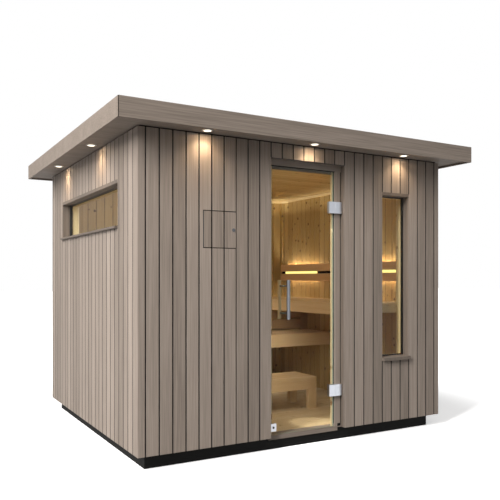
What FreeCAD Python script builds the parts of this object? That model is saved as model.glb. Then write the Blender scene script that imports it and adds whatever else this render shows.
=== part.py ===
import FreeCAD, Part
import os
import Sketcher

# Outdoor sauna cabin: timber walls with open board cladding, a flat roof that
# overhangs all round, an all-glass door, two fixed windows and a small hatch.
# Millimetres. Origin on the ground under the middle of the roof, +X to the
# right along the front, +Y to the back, +Z up.

doc = FreeCAD.newDocument("sauna_cabin")

# Driving dimensions

DIMENSIONS = [
    # Envelope
    ("wall_span", 2810), ("wall_reach", 2532), ("wall_thickness", 160), ("cladding_board", 20),
    ("lining_board", 14), ("eave", 200), ("soffit_level", 2352), ("soffit_board", 18),
    ("cladding_shadow", 10), ("fascia_height", 134), ("fascia_drop", 15), ("fascia_board", 20),
    ("mitre_gap", 8), ("soffit_joint", 1), ("roof_recess", 20), ("roof_sheet", 6),
    # Base, floor and ceiling
    ("plinth_height", 103), ("plinth_inset", 75), ("joist_width", 60), ("joist_pitch", 620),
    ("joist_count", 3), ("floor_rise", 7), ("floor_board", 30),
    ("ceiling_drop", 110), ("ceiling_board", 18),
    # Spotlights under the eaves
    ("spot_flange", 82), ("spot_can", 66), ("spot_lip", 4), ("spot_lens", 50), ("spot_dish", 6),
    ("front_spot_pitch", 920), ("front_spot_offset", 75), ("left_spot_front", 444),
    ("left_spot_rear", 628), ("left_spot_offset", 84),
    # Trim boards shared by the door and the windows
    ("trim_board", 20), ("sash_depth", 25), ("sash_width", 28), ("reveal_depth", 70),
    ("pane_thickness", 16), ("pane_clearance", 0.4), ("head_trim", 25),
    ("sill_drop", 32), ("sill_nose", 24),
    # Narrow front window and wide left window
    ("front_window_centre", 900), ("front_window_width", 300), ("front_window_height", 1367),
    ("front_window_drop", 335), ("left_window_width", 1678), ("left_window_height", 312),
    ("left_window_drop", 337), ("left_sill_drop", 20),
    # Doorway
    ("door_width", 700), ("door_head_drop", 12), ("door_recess", 50), ("head_bar", 50),
    ("stop_drop", 22), ("stop_clearance", 13), ("stop_board", 12), ("shadow_rebate", 8),
    ("rebate_depth", 20),
    ("hinge_jamb", 57), ("hinge_stop", 16), ("lock_jamb", 7), ("lock_stop", 35),
    ("foot_notch", 24), ("notch_width", 28), ("threshold_drop", 33), ("threshold_left", 12),
    ("threshold_right", 36),
    # Glass leaf
    ("leaf_thickness", 8), ("hinge_gap", 14), ("lock_gap", 5), ("leaf_top_gap", 7),
    ("leaf_foot_gap", 6), ("bolt_clearance", 0.3),
    # Hinges
    ("upper_hinge", 286), ("lower_hinge", 293), ("hinge_height", 93), ("hinge_block", 20),
    ("hinge_reach", 58), ("hinge_frame_reach", 66), ("hinge_split", 2), ("pin_radius", 2),
    ("pin_clearance", 0.4), ("bolt_radius", 5), ("clamp_back", 8), ("clamp_width", 46),
    # Handle
    ("handle_length", 304), ("handle_radius", 14), ("handle_level", 1040),
    ("handle_inset", 129), ("handle_standoff", 60), ("standoff_pitch", 210),
    ("standoff_radius", 7),
    # Lock plate on the leaf
    ("lock_width", 54), ("lock_height", 60), ("lock_plate", 6), ("lock_base", 141),
    ("lock_core", 8.5), ("lock_proud", 3), ("lock_inset", 11),
    # Hatch
    ("hatch_inset", 487), ("hatch_width", 271), ("hatch_height", 272), ("hatch_base", 1530.5),
    ("hatch_gap", 5.5), ("hatch_board", 15), ("hatch_play", 0.5), ("hatch_leaf", 1.2),
    ("niche_depth", 60), ("niche_rim", 7), ("hatch_lock_radius", 12.5),
    ("hatch_lock_inset", 20), ("hatch_lock_proud", 3), ("cam_width", 14), ("cam_drop", 36),
    ("cam_thickness", 3),
    # Benches
    ("bench_top", 1096), ("bench_fascia", 112), ("bench_depth", 600), ("bench_board", 28),
    ("slat_count", 6), ("slat_gap", 10), ("batten_width", 60),
    ("lower_drop", 353), ("lower_fascia", 130), ("lower_front", 100), ("lower_tuck", 104),
    ("riser_setback", 30), ("riser_board", 20), ("riser_post", 100), ("riser_gap", 15),
    # Step stool
    ("stool_left", 0), ("stool_width", 600), ("stool_front", -532), ("stool_depth", 362),
    ("stool_height", 293), ("stool_leg", 88), ("stool_apron", 112), ("stool_slats", 4),
    # Backrests and light strips
    ("rest_rise", 193), ("rest_low", 79.5), ("rest_gap", 26), ("rest_high", 79.5),
    ("rest_board", 20), ("rest_standoff", 40), ("rest_spacer", 45), ("rest_spacer_inset", 28),
    ("rest_corner", 103), ("rest_end", 60), ("back_rest_corner", 141), ("light_length", 610),
    ("light_start", 27), ("light_end", 5), ("light_depth", 14),
    # Inner trim
    ("corner_width", 106), ("corner_return", 60), ("corner_board", 15), ("cove_width", 32),
    ("cove_height", 30), ("cove_step", 15),
]

sheet = doc.addObject("Spreadsheet::Sheet", "dims")
for row, (alias, value) in enumerate(DIMENSIONS, start=1):
    sheet.set(f"A{row}", alias)
    sheet.set(f"B{row}", str(value))
    sheet.setAlias(f"B{row}", alias)
doc.recompute()

# Levels and faces worked out from the driving dimensions

outer_x = "dims.wall_span / 2"
outer_y = "dims.wall_reach / 2"
core_x = f"({outer_x} - dims.cladding_board)"
core_y = f"({outer_y} - dims.cladding_board)"
room_x = f"({outer_x} - dims.wall_thickness)"
room_y = f"({outer_y} - dims.wall_thickness)"
inner_x = f"({room_x} + dims.lining_board)"
inner_y = f"({room_y} + dims.lining_board)"
eave_x = f"({outer_x} + dims.eave)"
eave_y = f"({outer_y} + dims.eave)"
deck_x = f"({eave_x} - dims.fascia_board)"
deck_y = f"({eave_y} - dims.fascia_board)"
deck_base = "(dims.soffit_level + dims.soffit_board)"
fascia_base = "(dims.soffit_level - dims.fascia_drop)"
roof_top = f"({fascia_base} + dims.fascia_height)"
deck_top = f"({roof_top} - dims.roof_recess - dims.roof_sheet)"
wall_base = "dims.plinth_height"
cladding_top = "(dims.soffit_level - dims.cladding_shadow)"
floor_top = "(dims.plinth_height + dims.floor_rise)"
ceiling_base = "(dims.soffit_level - dims.ceiling_drop)"
door_head = f"({ceiling_base} - dims.door_head_drop)"
lower_top = "(dims.bench_top - dims.lower_drop)"
front_y = f"(-({outer_y}))"
door_x = "(dims.door_width / 2)"
frame_y = f"({front_y} + dims.door_recess)"
leaf_back = f"({frame_y} + dims.leaf_thickness)"
stop_y = f"({leaf_back} + dims.stop_clearance)"
stop_back = f"({stop_y} + dims.stop_board)"


def size(expression):
    """Value of an expression, in millimetres."""
    value = sheet.evalExpression(str(expression))
    return float(getattr(value, "Value", value))


def bind(piece, **sizes):
    """Binds properties of a piece to expressions; x, y and z are its place."""
    for name, expression in sizes.items():
        target = f".Placement.Base.{name}" if name in ("x", "y", "z") else name
        piece.setExpression(target, str(expression))
    return piece


def block(name, xs, ys, zs):
    """Box between two expressions along each axis."""
    box = doc.addObject("Part::Box", name)
    box.Label = name
    lengths = [f"({high}) - ({low})" for low, high in (xs, ys, zs)]
    bind(box, Length=lengths[0], Width=lengths[1], Height=lengths[2], x=xs[0], y=ys[0], z=zs[0])
    return box


def rod(name, radius, length, place, along="z"):
    """Cylinder that starts at a place and runs along one axis."""
    turns = {"x": (FreeCAD.Vector(0, 1, 0), 90), "y": (FreeCAD.Vector(1, 0, 0), -90),
             "z": (FreeCAD.Vector(0, 0, 1), 0)}
    cylinder = doc.addObject("Part::Cylinder", name)
    cylinder.Label = name
    cylinder.Placement.Rotation = FreeCAD.Rotation(*turns[along])
    bind(cylinder, Radius=radius, Height=length, x=place[0], y=place[1], z=place[2])
    return cylinder


def group(name, pieces, kind="Part::MultiFuse"):
    """Pieces fused into one solid, or kept side by side in one compound."""
    whole = doc.addObject(kind, name)
    whole.Label = name
    if kind == "Part::MultiFuse":
        whole.Shapes = pieces
        whole.Refine = True
    else:
        whole.Links = pieces
    return whole


def cut(name, base, tools):
    """Base with the tools taken away."""
    result = doc.addObject("Part::Cut", name)
    result.Label = name
    result.Base = base
    result.Tool = tools[0] if len(tools) == 1 else group(f"{name}_tools", tools)
    return result


def origin_plane(body, role):
    """Origin plane of a body, such as XY_Plane."""
    return next(item for item in body.Origin.OriginFeatures if item.Role == role)


def pin_point(sketch, geometry, end, place):
    """Holds one end of a sketch line at a place given by two expressions."""
    for kind, expression in (("DistanceX", place[0]), ("DistanceY", place[1])):
        value = size(expression)
        constraint = Sketcher.Constraint(kind, -1, 1, geometry, end, value)
        index = sketch.addConstraint(constraint)
        sketch.setExpression(f"Constraints[{index}]", str(expression))


def profile(body, name, role, corners):
    """Closed sketch through corners, on an origin plane of the body."""
    sketch = body.newObject("Sketcher::SketchObject", name)
    sketch.AttachmentSupport = [(origin_plane(body, role), "")]
    sketch.MapMode = "FlatFace"
    points = [FreeCAD.Vector(size(a), size(b), 0) for a, b in corners]
    for index, point in enumerate(points):
        sketch.addGeometry(Part.LineSegment(point, points[(index + 1) % len(points)]))
    for index in range(len(points)):
        following = (index + 1) % len(points)
        sketch.addConstraint(Sketcher.Constraint("Coincident", index, 2, following, 1))
        pin_point(sketch, index, 1, corners[index])
    return sketch


def prism(name, role, corners, start, length):
    """Body padded from a closed profile, along the axis square to its plane."""
    body = doc.addObject("PartDesign::Body", name)
    body.Label = name
    sketch = profile(body, f"{name}_profile", role, corners)
    pad = body.newObject("PartDesign::Pad", f"{name}_pad")
    pad.Profile = sketch
    pad.Reversed = role == "XZ_Plane"
    pad.setExpression("Length", length)
    axis = {"XY_Plane": "z", "XZ_Plane": "y", "YZ_Plane": "x"}[role]
    bind(body, **{axis: start})
    return body


nodes = []


def keep(*pieces):
    """Marks pieces as sub-parts of the cabin."""
    nodes.extend(pieces)


def negative(expression):
    return f"(-({expression}))"


def both(expression):
    """Range that is even about the middle."""
    return negative(expression), expression


# Base frame: a ring of beams with joists let in between them

def plinth():
    ring_x = f"({outer_x} - dims.plinth_inset)"
    ring_y = f"({outer_y} - dims.plinth_inset)"
    body = doc.addObject("PartDesign::Body", "plinth")
    body.Label = "plinth"
    ring = profile(body, "plinth_outline", "XY_Plane", [
        (negative(ring_x), negative(ring_y)), (ring_x, negative(ring_y)),
        (ring_x, ring_y), (negative(ring_x), ring_y)])
    pad = body.newObject("PartDesign::Pad", "plinth_ring")
    pad.Profile = ring
    pad.setExpression("Length", "dims.plinth_height")
    hollow = profile(body, "plinth_hollow", "XY_Plane", [
        (negative(inner_x), negative(inner_y)), (inner_x, negative(inner_y)),
        (inner_x, inner_y), (negative(inner_x), inner_y)])
    pocket = body.newObject("PartDesign::Pocket", "plinth_opening")
    pocket.Profile = hollow
    pocket.Type = "ThroughAll"
    pocket.Midplane = True
    first = "(-dims.joist_pitch * (dims.joist_count - 1) / 2)"
    half = "(dims.joist_width / 2)"
    bar = profile(body, "joist_outline", "XY_Plane", [
        (f"{first} - {half}", negative(inner_y)), (f"{first} + {half}", negative(inner_y)),
        (f"{first} + {half}", inner_y), (f"{first} - {half}", inner_y)])
    joist = body.newObject("PartDesign::Pad", "joist")
    joist.Profile = bar
    joist.setExpression("Length", f"{floor_top} - dims.floor_board")
    row = body.newObject("PartDesign::LinearPattern", "joists")
    row.Originals = [joist]
    row.Direction = (bar, ["H_Axis"])
    row.setExpression("Occurrences", "dims.joist_count")
    row.setExpression("Length", "dims.joist_pitch * (dims.joist_count - 1)")
    body.Tip = row
    return body


floor = block("floor", both(inner_x), both(inner_y),
              (f"{floor_top} - dims.floor_board", floor_top))
keep(plinth(), floor)


# Window openings, as ranges along the wall and in height

class Window:
    """Fixed window: its place in a wall and the ranges of its opening."""

    def __init__(self, name, middle, sill_drop):
        self.name = name
        self.low = f"({middle} - dims.{name}_width / 2)"
        self.high = f"({middle} + dims.{name}_width / 2)"
        self.head = f"(dims.soffit_level - dims.{name}_drop)"
        self.sill = f"({self.head} - dims.{name}_height)"
        self.drop = sill_drop

    def opening(self, margin="0"):
        along = (f"({self.low} - {margin})", f"({self.high} + {margin})")
        return along, (f"({self.sill} - {margin})", f"({self.head} + {margin})")


front_window = Window("front_window", "dims.front_window_centre", "dims.sill_drop")
left_window = Window("left_window", "0", "dims.left_sill_drop")
TRIM = "dims.trim_board"


# Wall cores: plain slabs between the cladding and the inner panelling

def wall_cores():
    heights = (wall_base, deck_base)
    front_depth = (negative(core_y), negative(inner_y))
    side = f"({door_x} + {TRIM})"
    left_part = block("front_wall_left_slab", (negative(core_x), negative(side)),
                      front_depth, heights)
    rim = "dims.niche_rim"
    niche_low = f"({negative(outer_x)} + dims.hatch_inset + {rim})"
    niche_high = f"({negative(outer_x)} + dims.hatch_inset + dims.hatch_width - 0.5 * {rim})"
    niche = block("hatch_niche", (niche_low, niche_high),
                  (negative(outer_y), f"-{core_y} + dims.niche_depth"),
                  (f"dims.hatch_base + {rim}", f"dims.hatch_base + dims.hatch_height - {rim}"))
    right_part = block("front_wall_right_slab", (side, core_x), front_depth, heights)
    along, up = front_window.opening(TRIM)
    front_hole = block("front_window_hole", along, both(outer_y), up)
    left_slab = block("left_wall_slab", (negative(core_x), negative(inner_x)),
                      both(inner_y), heights)
    along, up = left_window.opening(TRIM)
    left_hole = block("left_window_hole", (negative(outer_x), "0"), along, up)
    keep(cut("front_wall_left", left_part, [niche]),
         cut("front_wall_right", right_part, [front_hole]),
         block("front_wall_over_door", both(side), front_depth,
               (f"{door_head} + {TRIM}", deck_base)),
         cut("left_wall", left_slab, [left_hole]),
         block("right_wall", (inner_x, core_x), both(inner_y), heights),
         block("back_wall", both(core_x), (inner_y, core_y), heights))


wall_cores()


# Cladding: one board thickness round the walls, cut for door, windows and hatch

def cladding():
    heights = (wall_base, cladding_top)
    sheet_y = (negative(outer_y), negative(core_y))
    front_sheet = block("front_sheet", both(outer_x), sheet_y, heights)
    through = (f"{negative(outer_y)} - 1", f"{negative(core_y)} + 1")
    doorway = block("doorway_cut", both(door_x), through, ("0", door_head))
    hatch_low = f"({negative(outer_x)} + dims.hatch_inset)"
    hatch_cut = block("hatch_cut", (hatch_low, f"{hatch_low} + dims.hatch_width"), through,
                      ("dims.hatch_base", "dims.hatch_base + dims.hatch_height"))
    window_cut = block("front_window_cut", (front_window.low, front_window.high), through,
                       (f"{front_window.sill} - {front_window.drop}",
                        f"{front_window.head} + dims.head_trim"))
    left_sheet = block("left_sheet", (negative(outer_x), negative(core_x)), both(core_y), heights)
    left_cut = block("left_window_cut",
                     (f"{negative(outer_x)} - 1", f"{negative(core_x)} + 1"),
                     (left_window.low, left_window.high),
                     (f"{left_window.sill} - {left_window.drop}",
                      f"{left_window.head} + dims.head_trim"))
    keep(cut("front_cladding", front_sheet, [doorway, hatch_cut, window_cut]),
         cut("left_cladding", left_sheet, [left_cut]),
         block("right_cladding", (core_x, outer_x), both(core_y), heights),
         block("back_cladding", both(outer_x), (core_y, outer_y), heights))


cladding()


# Inner panelling, ceiling and corner trim

def lining():
    heights = (floor_top, ceiling_base)
    sleeve = block("lining_sleeve", both(inner_x), both(inner_y), heights)
    room = block("lining_room", both(room_x), both(room_y), ("0", f"{heights[1]} + 1"))
    doorway = block("lining_doorway", both(door_x), (negative(outer_y), "0"), ("0", door_head))
    along, up = front_window.opening(TRIM)
    front_hole = block("lining_front_hole", along, (negative(outer_y), "0"), up)
    along, up = left_window.opening(TRIM)
    left_hole = block("lining_left_hole", (negative(outer_x), "0"), along, up)
    keep(cut("wall_lining", sleeve, [room, doorway, front_hole, left_hole]),
         block("ceiling", both(inner_x), both(inner_y),
               (ceiling_base, f"{ceiling_base} + dims.ceiling_board")))


lining()


def corner_battens():
    """Angle strips in the corners of the room, from the floor or the bench up."""
    battens = []
    board = "dims.corner_board"
    top = f"({ceiling_base} - dims.cove_height)"
    for index, (sign_x, sign_y) in enumerate(((-1, -1), (1, -1), (-1, 1), (1, 1))):
        base = floor_top if (sign_x, sign_y) == (-1, -1) else "dims.bench_top"
        points = [("0", "0"), ("dims.corner_width", "0"), ("dims.corner_width", board),
                  (board, board), (board, "dims.corner_return"), ("0", "dims.corner_return")]
        corners = [(f"{-sign_x} * ({a} - {room_x})", f"{-sign_y} * ({b} - {room_y})")
                   for a, b in points]
        battens.append(prism(f"corner_batten_{index + 1}", "XY_Plane", corners, base,
                             f"{top} - {base}"))
    return group("corner_battens", battens, "Part::Compound")


def ceiling_cove():
    """Two steps of strip along the top of all four walls."""
    middle = f"{ceiling_base} - dims.cove_step"
    base = f"{ceiling_base} - dims.cove_height"
    outer = block("cove_outer", both(room_x), both(room_y), (base, ceiling_base))
    wide = block("cove_wide", both(f"({room_x} - dims.cove_width)"),
                 both(f"({room_y} - dims.cove_width)"), (base, ceiling_base))
    narrow = block("cove_narrow", both(f"({room_x} - dims.cove_width / 2)"),
                   both(f"({room_y} - dims.cove_width / 2)"), (base, middle))
    return cut("ceiling_cove", outer, [wide, narrow])


keep(corner_battens(), ceiling_cove())


# Flat roof: close-jointed soffit, deck, sheet and fascia boards with open mitres

def mitred_ring(name, inner, outer, gap, base, height):
    """Four boards round a rectangle, with mitre joints of some gap at the corners."""
    boards = []
    for side, (across, sign) in enumerate((("y", -1), ("x", 1), ("y", 1), ("x", -1))):
        span = 0 if across == "y" else 1
        depth = 1 - span
        ends = [(outer[span], outer[depth]), (inner[span], inner[depth])]
        loop = [(f"-({ends[0][0]} - {gap} / 2)", ends[0][1]),
                (f"({ends[0][0]} - {gap} / 2)", ends[0][1]),
                (f"({ends[1][0]} - {gap} / 2)", ends[1][1]),
                (f"-({ends[1][0]} - {gap} / 2)", ends[1][1])]
        corners = [(a, f"{sign} * ({b})") if across == "y" else (f"{sign} * ({b})", a)
                   for a, b in loop]
        boards.append(prism(f"{name}_board_{side + 1}", "XY_Plane", corners, base, height))
    return boards


def spot_places():
    """Places of the spotlights: three along the front, two along the left."""
    front = f"(-({outer_y} + dims.front_spot_offset))"
    left = f"(-({outer_x} + dims.left_spot_offset))"
    places = [(f"{step} * dims.front_spot_pitch", front) for step in (-1, 0, 1)]
    return places + [(left, "(-dims.left_spot_front)"), (left, "dims.left_spot_rear")]


def spotlight(index, place):
    """Round lamp: a flange under the soffit, a can through it and a dished lens."""
    name = f"spotlight_{index}"
    body = doc.addObject("PartDesign::Body", name)
    body.Label = name
    flange = "(dims.spot_flange / 2)"
    can = "(dims.spot_can / 2)"
    lens = "(dims.spot_lens / 2)"
    lip = "(-dims.spot_lip)"
    outline = profile(body, f"{name}_outline", "XZ_Plane", [
        ("0", "dims.soffit_board"), (can, "dims.soffit_board"), (can, "0"), (flange, "0"),
        (flange, f"{lip} / 2"), (f"{flange} - dims.spot_lip", lip), (f"{lens} + 2", lip),
        (lens, "dims.spot_dish"), ("0", "dims.spot_dish")])
    turn = body.newObject("PartDesign::Revolution", f"{name}_turn")
    turn.Profile = outline
    turn.ReferenceAxis = (outline, ["V_Axis"])
    turn.Angle = 360
    return bind(body, x=place[0], y=place[1], z="dims.soffit_level")


def roof():
    ring = mitred_ring("soffit", (core_x, core_y), (deck_x, deck_y), "dims.soffit_joint",
                       "dims.soffit_level", "dims.soffit_board")
    holes = [rod(f"spot_hole_{index}", "dims.spot_can / 2", "dims.soffit_board + 2",
                 (x, y, "dims.soffit_level - 1"))
             for index, (x, y) in enumerate(spot_places(), start=1)]
    front_board = cut("soffit_front", ring[0], holes[:3])
    left_board = cut("soffit_left", ring[3], holes[3:])
    fascia = mitred_ring("fascia", (deck_x, deck_y), (eave_x, eave_y), "dims.mitre_gap",
                         fascia_base, "dims.fascia_height")
    spots = [spotlight(index, place) for index, place in enumerate(spot_places(), start=1)]
    keep(group("soffit", [front_board, ring[1], ring[2], left_board], "Part::Compound"),
         group("soffit_spotlights", spots, "Part::Compound"),
         block("roof_deck", both(deck_x), both(deck_y), (deck_base, deck_top)),
         block("roof_sheet", both(deck_x), both(deck_y),
               (deck_top, f"{deck_top} + dims.roof_sheet")),
         group("fascia", fascia, "Part::Compound"))


roof()


# Windows: casing in the wall colour, black sash, glass, inner reveal and sill

def ring_between(name, plane, outer, inner, start, length):
    """Rectangular ring: outer and inner are (along, up) ranges."""
    rings = []
    for part, (along, up) in (("outer", outer), ("inner", inner)):
        extra = "0" if part == "outer" else "1"
        depth = (f"({start}) - {extra}", f"({start}) + ({length}) + {extra}")
        ranges = (along, depth, up) if plane == "front" else (depth, along, up)
        rings.append(block(f"{name}_{part}", *ranges))
    return cut(name, rings[0], [rings[1]])


def window_pieces(window, plane, wall_face):
    """Pieces of one window, from the outer face of its wall inwards."""
    face = f"(-({wall_face}))"
    rough = window.opening(TRIM)
    clear = window.opening()
    sash_inner = window.opening(f"(-(dims.sash_width - {TRIM}))")
    pane_range = window.opening(f"(-(dims.sash_width - {TRIM} + dims.pane_clearance))")
    sash_start = f"({face} + dims.reveal_depth)"
    behind = f"({face} + dims.cladding_board)"
    name = window.name
    casing = ring_between(f"{name}_casing_ring", plane, rough, clear, behind,
                          "dims.reveal_depth - dims.cladding_board")
    trim_range = ((window.low, window.high), (window.head, f"{window.head} + dims.head_trim"))
    trim_depth = (face, behind)
    ranges = ((trim_range[0], trim_depth, trim_range[1]) if plane == "front"
              else (trim_depth, trim_range[0], trim_range[1]))
    front_strip = block(f"{name}_head_strip", *ranges)
    sash = ring_between(f"{name}_sash", plane, rough, sash_inner, sash_start, "dims.sash_depth")
    pane_start = f"({sash_start} + (dims.sash_depth - dims.pane_thickness) / 2)"
    pane_depth = (pane_start, f"{pane_start} + dims.pane_thickness")
    ranges = ((pane_range[0], pane_depth, pane_range[1]) if plane == "front"
              else (pane_depth, pane_range[0], pane_range[1]))
    pane = block(f"{name}_pane", *ranges)
    reveal_start = f"({sash_start} + dims.sash_depth)"
    reveal = ring_between(f"{name}_reveal", plane, rough, clear, reveal_start,
                          "dims.wall_thickness - dims.reveal_depth - dims.sash_depth")
    return casing, front_strip, sash, pane, reveal


def sill(window, plane, wall_face):
    """Nosed sill: it hangs over the cladding and slopes down to its edge."""
    name = f"{window.name}_sill"
    face = f"(-({wall_face}))"
    nose = f"({face} - dims.sill_nose)"
    back = f"({face} + dims.cladding_board)"
    top = window.sill
    base = f"({window.sill} - {window.drop})"
    lip = f"({top} - 4)"
    outline = [(nose, base), (back, base), (back, top), (nose, lip)]
    length = f"{window.high} - {window.low}"
    if plane == "front":
        return prism(name, "YZ_Plane", outline, window.low, length)
    return prism(name, "XZ_Plane", outline, window.low, length)


def windows():
    front = window_pieces(front_window, "front", outer_y)
    left = window_pieces(left_window, "left", outer_x)
    casings = [group(f"{window.name}_casing", [pieces[0], pieces[1]])
               for window, pieces in ((front_window, front), (left_window, left))]
    keep(group("window_casings", casings, "Part::Compound"),
         group("window_sashes", [front[2], left[2]], "Part::Compound"),
         group("window_panes", [front[3], left[3]], "Part::Compound"),
         group("window_reveals", [front[4], left[4]], "Part::Compound"),
         group("window_sills", [sill(front_window, "front", outer_y),
                                sill(left_window, "left", outer_x)], "Part::Compound"))


windows()


# Doorway: casing boards, two rebated jambs with stop and liner, head, threshold

hinge_face = f"({door_x} - dims.shadow_rebate - dims.hinge_jamb)"
lock_face = f"(-({door_x}) + dims.shadow_rebate + dims.lock_jamb)"
hinge_stop_x = f"({hinge_face} - dims.hinge_stop)"
lock_stop_x = f"({lock_face} + dims.lock_stop)"
head_base = f"({door_head} - dims.head_bar)"
stop_base = f"({head_base} - dims.stop_drop)"


def jamb(name, sign, face, stop):
    """Upright of the door frame: shadow rebate, stop behind the leaf, liner inwards."""
    reveal = f"({sign} * {door_x})"
    rebate = f"({reveal} - {sign} * dims.shadow_rebate)"
    rebate_y = f"({frame_y} + dims.rebate_depth)"
    liner = f"({reveal} - {sign} * {TRIM})"
    outline = [(face, frame_y), (rebate, frame_y), (rebate, rebate_y), (reveal, rebate_y),
               (reveal, negative(room_y)), (liner, negative(room_y)), (liner, stop_back),
               (stop, stop_back), (stop, stop_y), (face, stop_y)]
    return prism(name, "XY_Plane", outline, floor_top, f"{head_base} - {floor_top}")


def doorway():
    outer = f"({door_x} + {TRIM})"
    casing = prism("door_casing", "XZ_Plane", [
        (negative(outer), wall_base), (negative(outer), f"{door_head} + {TRIM}"),
        (outer, f"{door_head} + {TRIM}"), (outer, wall_base), (door_x, wall_base),
        (door_x, door_head), (negative(door_x), door_head), (negative(door_x), wall_base)],
        negative(core_y), f"{core_y} - {inner_y}")
    hinge_jamb = jamb("hinge_jamb_post", 1, hinge_face, hinge_stop_x)
    notch_low = f"({door_x} - dims.shadow_rebate - dims.notch_width)"
    notch = block("jamb_foot_notch", (notch_low, door_x),
                  (f"{frame_y} - 1", f"{frame_y} + dims.rebate_depth"),
                  ("0", f"{floor_top} + dims.foot_notch"))
    head_front = block("head_bar", both(door_x), (frame_y, negative(room_y)),
                       (head_base, door_head))
    head_stop = block("head_stop", (lock_stop_x, hinge_stop_x), (stop_y, stop_back),
                      (stop_base, head_base))
    plinth_face = f"(-({outer_y} - dims.plinth_inset))"
    tread_base = f"({floor_top} - dims.threshold_drop)"
    rear = block("threshold_rear", both(door_x), (frame_y, negative(inner_y)),
                 (wall_base, floor_top))
    front = block("threshold_front", (f"dims.threshold_left - {door_x}",
                                      f"{door_x} - dims.threshold_right"),
                  (frame_y, plinth_face), (tread_base, floor_top))
    keep(casing, cut("hinge_side_jamb", hinge_jamb, [notch]),
         jamb("lock_side_jamb", -1, lock_face, lock_stop_x),
         group("door_head", [head_front, head_stop]),
         group("door_threshold", [rear, front]))


doorway()


# Glass leaf with its hinges, handle and lock

pivot_x = f"({hinge_face} - dims.hinge_gap / 2)"
pivot_y = f"({frame_y} - dims.hinge_block)"
leaf_right = f"({hinge_face} - dims.hinge_gap)"
leaf_left = f"({lock_face} + dims.lock_gap)"
leaf_base = f"({floor_top} + dims.leaf_foot_gap)"
leaf_top = f"({head_base} - dims.leaf_top_gap)"
hinge_leaf_end = f"({pivot_x} - dims.hinge_split / 2)"
hinge_frame_start = f"({pivot_x} + dims.hinge_split / 2)"
bolt_x = f"({leaf_right} - dims.clamp_width / 2)"
handle_x = f"({leaf_left} + dims.handle_inset)"
handle_level = f"({floor_top} + dims.handle_level)"
lock_x = f"({leaf_left} + dims.lock_inset)"
lock_level = "(dims.lock_base + dims.lock_height / 2)"
HINGE_LEVELS = (f"({leaf_top} - dims.upper_hinge)", f"({leaf_base} + dims.lower_hinge)")


def bolt_places():
    """Places where metal passes through the glass: (x, level, radius)."""
    places = [(bolt_x, level, "dims.bolt_radius") for level in HINGE_LEVELS]
    places += [(handle_x, f"({handle_level} + {sign} * dims.standoff_pitch / 2)",
                "dims.standoff_radius") for sign in (-1, 1)]
    places.append((lock_x, lock_level, "dims.lock_core"))
    return places


def glass_leaf():
    pane = block("leaf_sheet", (leaf_left, leaf_right), (frame_y, leaf_back),
                 (leaf_base, leaf_top))
    holes = [rod(f"leaf_hole_{index}", f"{radius} + dims.bolt_clearance",
                 "dims.leaf_thickness + 2", (x, f"{frame_y} - 1", z), "y")
             for index, (x, z, radius) in enumerate(bolt_places(), start=1)]
    return cut("door_glass", pane, holes)


def leaf_hinge(index, level):
    """Block on the glass, hollowed for the pin, bolted to a plate behind the glass."""
    name = f"leaf_hinge_{index}"
    half = "dims.hinge_height / 2"
    heights = (f"{level} - {half}", f"{level} + {half}")
    front = block(f"{name}_front", (f"{hinge_leaf_end} - dims.hinge_reach", hinge_leaf_end),
                  (pivot_y, frame_y), heights)
    hollow = rod(f"{name}_hollow", "dims.pin_radius + dims.pin_clearance",
                 "dims.hinge_height + 2", (pivot_x, pivot_y, f"{heights[0]} - 1"))
    rear = block(f"{name}_rear", (f"{leaf_right} - dims.clamp_width", leaf_right),
                 (leaf_back, f"{leaf_back} + dims.clamp_back"), heights)
    bolt = rod(f"{name}_bolt", "dims.bolt_radius", "dims.leaf_thickness",
               (bolt_x, frame_y, level), "y")
    return group(name, [cut(f"{name}_block", front, [hollow]), rear, bolt])


def frame_hinge(index, level):
    """Block on the jamb with the pin along its edge."""
    name = f"frame_hinge_{index}"
    half = "dims.hinge_height / 2"
    heights = (f"{level} - {half}", f"{level} + {half}")
    body = block(f"{name}_block",
                 (hinge_frame_start, f"{hinge_frame_start} + dims.hinge_frame_reach"),
                 (pivot_y, frame_y), heights)
    pin = rod(f"{name}_pin", "dims.pin_radius", "dims.hinge_height",
              (pivot_x, pivot_y, heights[0]))
    return group(name, [body, pin])


def handles():
    """Steel bar with its standoffs outside, wooden bar on the same standoffs inside."""
    outside_y = f"({frame_y} - dims.handle_standoff)"
    inside_y = f"({leaf_back} + dims.handle_standoff)"
    base = f"{handle_level} - dims.handle_length / 2"
    steel = [rod("handle_bar", "dims.handle_radius", "dims.handle_length",
                 (handle_x, outside_y, base))]
    wood = rod("inside_bar", "dims.handle_radius", "dims.handle_length",
               (handle_x, inside_y, base))
    bores = []
    for index, sign in enumerate((-1, 1), start=1):
        level = f"({handle_level} + {sign} * dims.standoff_pitch / 2)"
        steel.append(rod(f"handle_standoff_{index}", "dims.standoff_radius",
                         f"({inside_y}) - ({outside_y})", (handle_x, outside_y, level), "y"))
        bores.append(rod(f"handle_bore_{index}", "dims.standoff_radius + dims.bolt_clearance",
                         "dims.handle_standoff", (handle_x, leaf_back, level), "y"))
    return group("door_handle", steel), cut("inside_handle", wood, bores)


def lock():
    xs = (leaf_left, f"{leaf_left} + dims.lock_width")
    heights = ("dims.lock_base", "dims.lock_base + dims.lock_height")
    front = block("lock_front", xs, (f"{frame_y} - dims.lock_plate", frame_y), heights)
    rear = block("lock_rear", xs, (leaf_back, f"{leaf_back} + dims.lock_plate"), heights)
    start = f"({frame_y} - dims.lock_plate - dims.lock_proud)"
    core = rod("lock_core", "dims.lock_core", f"{leaf_back} - {start}",
               (lock_x, start, lock_level), "y")
    return group("door_lock", [front, rear, core])


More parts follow.
